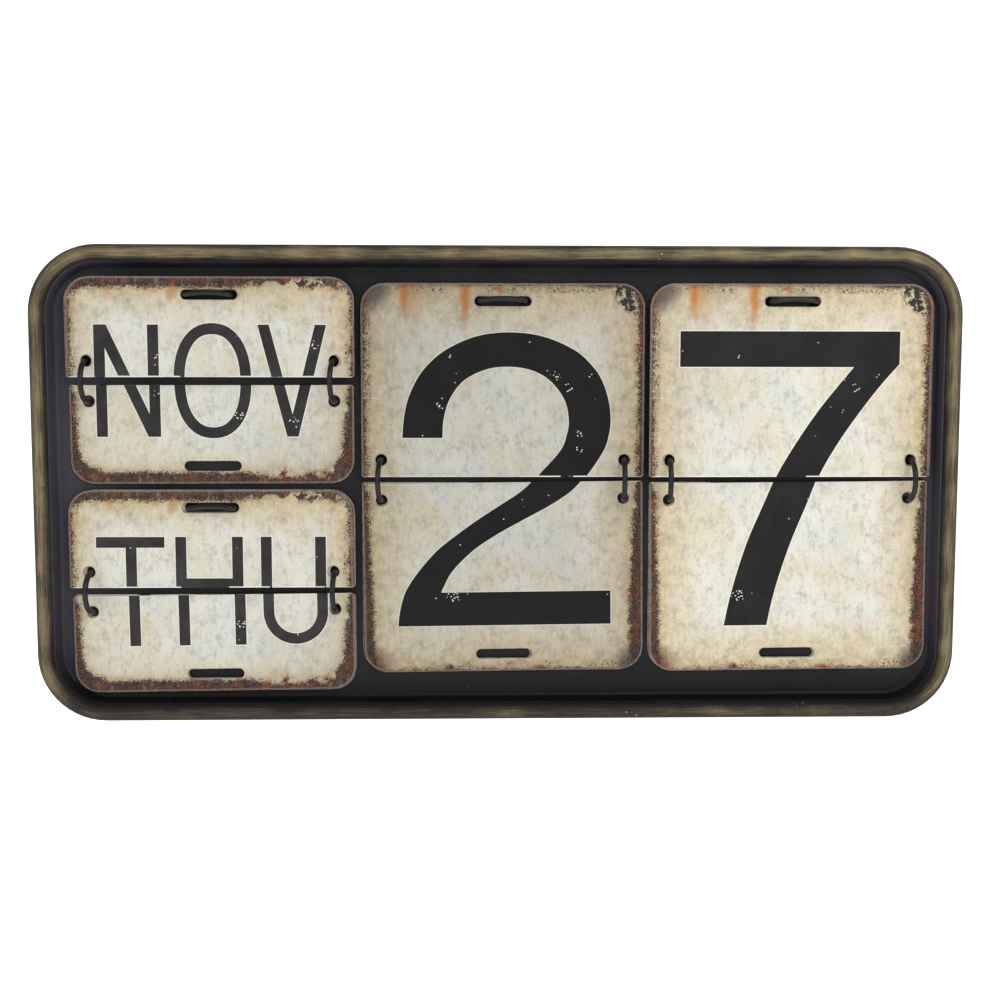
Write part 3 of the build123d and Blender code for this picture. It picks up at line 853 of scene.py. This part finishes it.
def within(points, shape):                    # which points lie inside a closed outline
    x, z = points[:, 0], points[:, 1]
    found = np.zeros(len(points), bool)
    for (ax, az), (bx, bz) in zip(shape, shape[1:] + shape[:1]):
        if az != bz:
            spans = (az > z) != (bz > z)
            found ^= spans & (x < (bx - ax) * (z - az) / (bz - az) + ax)
    return found


def crossingsOf(shapes, level):
    found = []
    for shape in shapes:
        for (ax, az), (bx, bz) in zip(shape, shape[1:] + shape[:1]):
            if (az > level) != (bz > level):
                found.append(ax + (bx - ax) * (level - az) / (bz - az))
    return found


def covered(points, shapes):
    found = np.zeros(len(points), bool)
    for shape in shapes:
        found |= within(points, shape)
    return found


def cutFace(loops, shapes, halos):            # one face's points, its triangles, and where each outline went
    points, edges, ringCount = [], [], sum(len(loop) for loop in loops)
    for loop in loops + shapes + halos:
        first = len(points)
        points += [Vector(p) for p in loop]
        edges += [(first + i, first + (i + 1) % len(loop)) for i in range(len(loop))]
    made, _, corners, source, _, _ = delaunay_2d_cdt(points, edges, [], 0, 1e-5, True)
    spots = np.array([p[:] for p in made])
    middles = np.array([spots[list(c)].mean(0) for c in corners])
    keep = within(middles, loops[0]) & ~covered(middles, loops[1:])
    finish = np.where(covered(middles, halos), finishOf["halo"], finishOf["enamel"])
    finish = np.where(covered(middles, shapes), finishOf["ink"], finish)
    ringOf = {old: new for new, olds in enumerate(source) for old in olds if old < ringCount}
    kept = [(tuple(corners[i]), int(finish[i])) for i in range(len(corners)) if keep[i]]
    return spots, kept, ringOf


class Sheet:                                  # a leaf's points and faces, hanging from its hinge line, in mm
    def __init__(self, spec, lower, upper):
        self.wide, self.reach, self.gap, self.tone = [spec[k] for k in ("wide", "reach", "gap", "tone")]
        self.points, self.cards, self.faces, self.finishes = [], [], [], []
        lowerHalo = [grown(p, letterSet["halo"]) for p in lower]
        upperHalo = [grown(p, letterSet["halo"]) for p in upper]
        level = self.gap + leafSet["lip"]
        crossings = crossingsOf(lower + lowerHalo, -level) + crossingsOf(upper + upperHalo, level)
        limit = self.wide / 2 - leafSet["inner"] - leafSet["clear"]
        self.stops = []
        for x in sorted(c for c in crossings if abs(c) < limit):
            if not self.stops or x - self.stops[-1] > leafSet["snap"]:
                self.stops.append(x)
        front = self.addFace(-1, lower, lowerHalo)      # the lower half's print faces forward,
        back = self.addFace(1, upper, upperHalo)        # the next upper half's print faces back
        start = 0
        for rim in self.loops(0):
            self.addRim(rim, start, front, back, lower, upper)
            start += len(rim)

    def loops(self, inset):
        outline = leafOutline(inset, self.wide, self.reach, self.gap, self.stops)
        return [outline] + holeLoops(inset, self.wide, self.reach)

    def addFace(self, side, shapes, halos):
        loops = [[(x, side * v) for x, v in loop] for loop in self.loops(leafSet["lip"])]
        spots, kept, ringOf = cutFace(loops, shapes, halos)
        first = len(self.points)
        for x, z in spots:
            self.points.append((x, side * leafSet["thick"] / 2, z if side < 0 else -z))
            self.cards.append((x, z, self.tone))
        for corners, finish in kept:
            a, b, c = [spots[i] for i in corners]
            if (b[0] - a[0]) * (c[1] - a[1]) < (c[0] - a[0]) * (b[1] - a[1]):
                corners = corners[::-1]
            self.faces.append([first + i for i in corners])
            self.finishes.append(finish)
        return {old: first + new for old, new in ringOf.items()}

    def addRim(self, rim, start, front, back, lower, upper):      # the edge band between the two faces
        count, half = len(rim), leafSet["thick"] / 2 - leafSet["lipDrop"]
        bands = []
        for y in (-half, half):
            bands.append(list(range(len(self.points), len(self.points) + count)))
            for x, v in rim:
                self.points.append((x, y, -v))
                self.cards.append((x, -v if y < 0 else v, self.tone))
        rows = [[front[start + i] for i in range(count)], *bands, [back[start + i] for i in range(count)]]
        for row, (inner, outer) in enumerate(zip(rows, rows[1:])):
            for i in range(count):
                j = (i + 1) % count
                self.faces.append([inner[i], inner[j], outer[j], outer[i]])
                finish = finishOf["edge"]
                onHinge = max(abs(rim[k][1] - self.gap) for k in (i, j)) < leafSet["snap"]
                if onHinge and start == 0 and row != 1:         # the print runs over the hinge edge: ink where a letter reaches it, elsewhere the halo's pale cream as a painted highlight
                    level = (self.gap + leafSet["lip"]) * (row - 1)
                    middle = np.array([[(rim[i][0] + rim[j][0]) / 2, level]])
                    inked = covered(middle, (lower, [], upper)[row])[0]
                    finish = finishOf["ink" if inked else "halo"]
                self.finishes.append(finish)


def makeLeaf(name, stack, values, raised, place, roll, materials):    # values of the lower and the upper half
    lower, upper = [cardShapes(value) if value else [] for value in values]
    sheet = Sheet(stacks[stack], lower, upper)
    mesh = bpy.data.meshes.new(name)
    mesh.from_pydata([(x * mm, y * mm, z * mm) for x, y, z in sheet.points], [], sheet.faces)
    stored = mesh.attributes.new("card", "FLOAT_VECTOR", "POINT")
    stored.data.foreach_set("vector", np.array(sheet.cards, np.float32).ravel())
    for material in materials:
        mesh.materials.append(material)
    mesh.polygons.foreach_set("material_index", sheet.finishes)
    turn = Matrix.Rotation(radians(roll), 4, "Y")
    if raised:
        turn = turn @ Matrix.Rotation(radians(180), 4, "X")
    mesh.transform(Matrix.Translation([v * mm for v in place]) @ turn)
    mesh.validate()
    tool = bmesh.new()
    tool.from_mesh(mesh)
    loose = [v for v in tool.verts if not v.link_faces]
    bmesh.ops.delete(tool, geom=loose, context="VERTS")
    bmesh.ops.recalc_face_normals(tool, faces=tool.faces)
    tool.to_mesh(mesh)
    tool.free()
    leaf = bpy.data.objects.new(name, mesh)
    scene.collection.objects.link(leaf)
    return leaf


def depthOf(node):                            # the middle of a solid's thickness, in mm
    low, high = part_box(node)
    return (low.y + high.y) / 2 / mm


leafWide = (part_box("tens_fixed_top")[1].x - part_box("tens_fixed_top")[0].x) / mm
smallTall = (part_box("month_fixed_top")[1].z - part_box("month_fixed_bottom")[0].z) / 2 / mm
largeTall = (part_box("tens_fixed_top")[1].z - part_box("tens_fixed_bottom")[0].z) / 2 / mm
smallPrint = Print("smallLeafEnamel", leafWide / 2, smallTall, True).made()
largePrint = Print("largeLeafEnamel", leafWide / 2, largeTall, False).made()
smallInk, largeInk = makeInk("wordInk", True), makeInk("digitInk", False)
letterHalo, leafEdge = makeHalo(), makeLeafEdge()

worst = 0.0
for stack, spec in stacks.items():
    values, up = spec["values"], spec["up"]
    count = len(values) - 1
    leafPrint, leafInk = (smallPrint, smallInk) if spec["small"] else (largePrint, largeInk)
    materials = [leafPrint, letterHalo, leafInk, leafEdge]
    low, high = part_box(stack + "_fixed_top")
    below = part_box(stack + "_fixed_bottom")[1]
    middleX, middleZ = (low.x + high.x) / 2 / mm, (low.z + below.z) / 2 / mm
    spec["wide"] = (high.x - low.x) / mm
    spec["gap"] = (low.z - below.z) / 2 / mm
    spec["reach"] = high.z / mm - middleZ
    for half, halves in (("top", (None, values[0])), ("bottom", (values[-1], None))):
        node = f"{stack}_fixed_{half}"
        place = (middleX, depthOf(node), middleZ)
        leaf = makeLeaf(node + "_card", stack, halves, half == "top", place, 0, materials)
        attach(leaf, "tray")
        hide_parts(node)
    for n in range(1, count + 1):
        node = f"{stack}_leaf_{n:0{len(str(count))}d}"
        shift = leafSet["sway"][0] * sin(leafSet["sway"][1] * n)
        roll = leafSet["tilt"][0] * cos(leafSet["tilt"][1] * n)
        if n == up + 1:                       # the front leaf of those that hang
            shift, roll = spec["shift"], spec["roll"]
        if n == up:                           # the front leaf of those turned up
            shift, roll = spec["upShift"], 0.0
        place = (middleX + shift, depthOf(node), middleZ)
        leaf = makeLeaf(node + "_card", stack, (values[n - 1], values[n]), n <= up, place, roll, materials)
        spots = np.array([v.co for v in leaf.data.vertices])
        low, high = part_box(node)
        worst = max(worst, abs(spots.min(0) - np.array(low)).max(), abs(spots.max(0) - np.array(high)).max())
        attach(leaf, node)
        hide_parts(node)
print(f"leaves printed, furthest from their solids by {worst / mm:.3f} mm")
